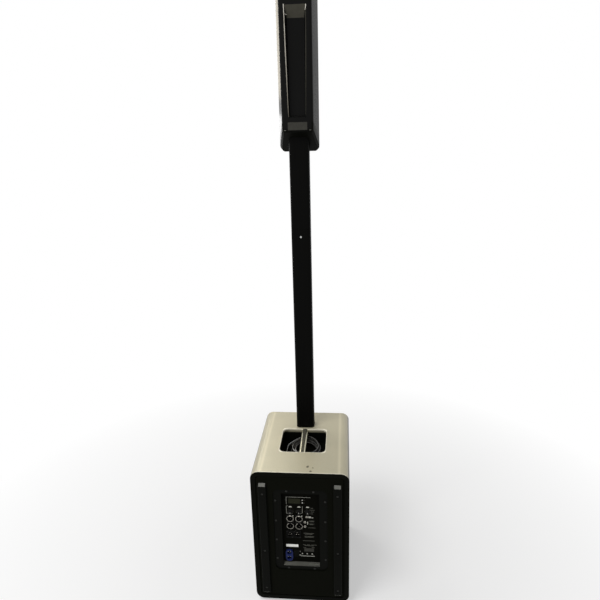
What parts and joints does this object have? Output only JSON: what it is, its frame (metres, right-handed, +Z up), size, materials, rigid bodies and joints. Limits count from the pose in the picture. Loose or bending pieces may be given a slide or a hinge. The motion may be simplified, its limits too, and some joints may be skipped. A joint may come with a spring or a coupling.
{
  "type": "column pa system",
  "caption": "Column loudspeaker system: bass cabinet with a carrying well and a rear control panel, a two-part plug-in pole and a slim array head.",
  "frame": {"origin": "on the floor under the middle of the cabinet", "axes": "+Z up, +Y out of the control panel at the rear, -Y out of the grilles, +X to the left as seen from the rear"},
  "size_m": [0.35, 0.445, 2.27],
  "materials": {
    "champagne_coat": "satin metallic paint, champagne",
    "black_plywood": "textured black paint",
    "black_edging": "satin",
    "tub_plastic": "fine moulded grain",
    "black_moulding": "fine moulded grain",
    "amplifier_panel": "fine moulded grain",
    "bright_strip": "satin",
    "display_glass": "clear dark window",
    "lamp_lens": "diffuse lens",
    "socket_plastic": "moulded",
    "mains_blue": "moulded, blue",
    "bright_steel": "bright plated",
    "black_screws": "black oxide",
    "knob_plastic": "moulded",
    "circuit_board": "green board",
    "raw_aluminium": "cast or extruded",
    "magnet_iron": "coated",
    "cone_paper": "coated paper",
    "black_rubber": "matte",
    "cord_sheath": "matte",
    "plug_shell": "satin black shell",
    "black_grille": "black powder coat",
    "anodised_pole": "black powder-coated extrusion"
  },
  "bodies": {
    "cabinet": {"amp_board": "circuit_board", "amp_plate": "amplifier_panel", "aux_sockets": "socket_plastic", "cabinet_sleeve": "black_plywood", "carry_bar": "champagne_coat", "combo_socket_1": "socket_plastic", "combo_socket_2": "socket_plastic", "combo_socket_3": "socket_plastic", "combo_socket_4": "socket_plastic", "control_board": "circuit_board", "control_panel": "amplifier_panel", "cord_gland": "black_rubber", "display_window": "display_glass", "feet": "black_rubber", "front_baffle": "black_plywood", "front_grille": "black_grille", "heat_sink": "raw_aluminium", "link_cord_coil": "cord_sheath", "link_cord_in": "cord_sheath", "link_cord_out": "cord_sheath", "link_plug": "plug_shell", "link_sockets": "socket_plastic", "mains_inlet": "mains_blue", "panel_sill": "bright_strip", "pole_socket": "tub_plastic", "port_ducts": "black_moulding", "rear_baffle": "black_plywood", "rear_bezel": "black_edging", "rear_screws": "black_screws", "skid_rails": "black_moulding", "socket_contacts": "tub_plastic", "status_lenses": "lamp_lens", "switch_frame": "socket_plastic", "top_cap": "champagne_coat", "well_tub": "tub_plastic", "woofer_basket": "raw_aluminium", "woofer_magnet": "magnet_iron", "woofer_surround": "black_rubber"},
    "lower_pole": {"lower_pole": "anodised_pole", "pole_foot": "black_moulding", "pole_spigot": "raw_aluminium", "spigot_screws": "black_screws"},
    "upper_pole": {"upper_pole": "anodised_pole", "pole_head": "black_moulding"},
    "array": {"array_housing": "black_moulding", "array_bottom_cap": "black_moulding", "array_top_cap": "black_moulding", "array_baffle": "black_moulding", "array_drivers": "raw_aluminium", "array_grille": "black_grille"},
    "array_cones": {"array_cones": "cone_paper"},
    "woofer_cone": {"woofer_cone": "cone_paper"},
    "level_knob_1": {"level_knob_1": "knob_plastic"},
    "level_knob_2": {"level_knob_2": "knob_plastic"},
    "encoder_knob": {"encoder_knob": "knob_plastic"},
    "mains_rocker": {"mains_rocker": "socket_plastic"},
    "latch_tab_1": {"latch_tab_1": "bright_steel"},
    "latch_tab_2": {"latch_tab_2": "bright_steel"},
    "latch_tab_3": {"latch_tab_3": "bright_steel"},
    "latch_tab_4": {"latch_tab_4": "bright_steel"}
  },
  "joints": [
    {"name": "lower_pole_lift", "type": "slide", "parent": "cabinet", "child": "lower_pole", "axis": [0, 0, 1], "range_m": [0, 0.095]},
    {"name": "upper_pole_lift", "type": "slide", "parent": "lower_pole", "child": "upper_pole", "axis": [0, 0, 1], "range_m": [0, 0.085]},
    {"name": "array_lift", "type": "slide", "parent": "upper_pole", "child": "array", "axis": [0, 0, 1], "range_m": [0, 0.13]},
    {"name": "array_cones_travel", "type": "slide", "parent": "array", "child": "array_cones", "axis": [0, -1, 0], "range_m": [-0.0015, 0.0015], "stiffness_N_per_m": 3000},
    {"name": "woofer_cone_travel", "type": "slide", "parent": "cabinet", "child": "woofer_cone", "axis": [0, -1, 0], "range_m": [-0.005, 0.005], "stiffness_N_per_m": 3000},
    {"name": "level_knob_1_turn", "type": "hinge", "parent": "cabinet", "child": "level_knob_1", "pos_m": [0.0375, 0.2, 0.397], "axis": [0, 1, 0], "range_deg": [-150, 150]},
    {"name": "level_knob_2_turn", "type": "hinge", "parent": "cabinet", "child": "level_knob_2", "pos_m": [0.0059, 0.2, 0.397], "axis": [0, 1, 0], "range_deg": [-150, 150]},
    {"name": "encoder_knob_turn", "type": "hinge", "parent": "cabinet", "child": "encoder_knob", "pos_m": [-0.0255, 0.2, 0.397], "axis": [0, 1, 0], "continuous": true},
    {"name": "mains_rocker_tilt", "type": "hinge", "parent": "cabinet", "child": "mains_rocker", "pos_m": [0.0195, 0.1885, 0.213], "axis": [1, 0, 0], "range_deg": [-16, 0]},
    {"name": "latch_tab_1_press", "type": "slide", "parent": "cabinet", "child": "latch_tab_1", "axis": [0, -1, 0], "range_m": [0, 0.0015], "stiffness_N_per_m": 300, "springref_m": -0.0005},
    {"name": "latch_tab_2_press", "type": "slide", "parent": "cabinet", "child": "latch_tab_2", "axis": [0, -1, 0], "range_m": [0, 0.0015], "stiffness_N_per_m": 300, "springref_m": -0.0005},
    {"name": "latch_tab_3_press", "type": "slide", "parent": "cabinet", "child": "latch_tab_3", "axis": [0, -1, 0], "range_m": [0, 0.0015], "stiffness_N_per_m": 300, "springref_m": -0.0005},
    {"name": "latch_tab_4_press", "type": "slide", "parent": "cabinet", "child": "latch_tab_4", "axis": [0, -1, 0], "range_m": [0, 0.0015], "stiffness_N_per_m": 300, "springref_m": -0.0005}
  ]
}
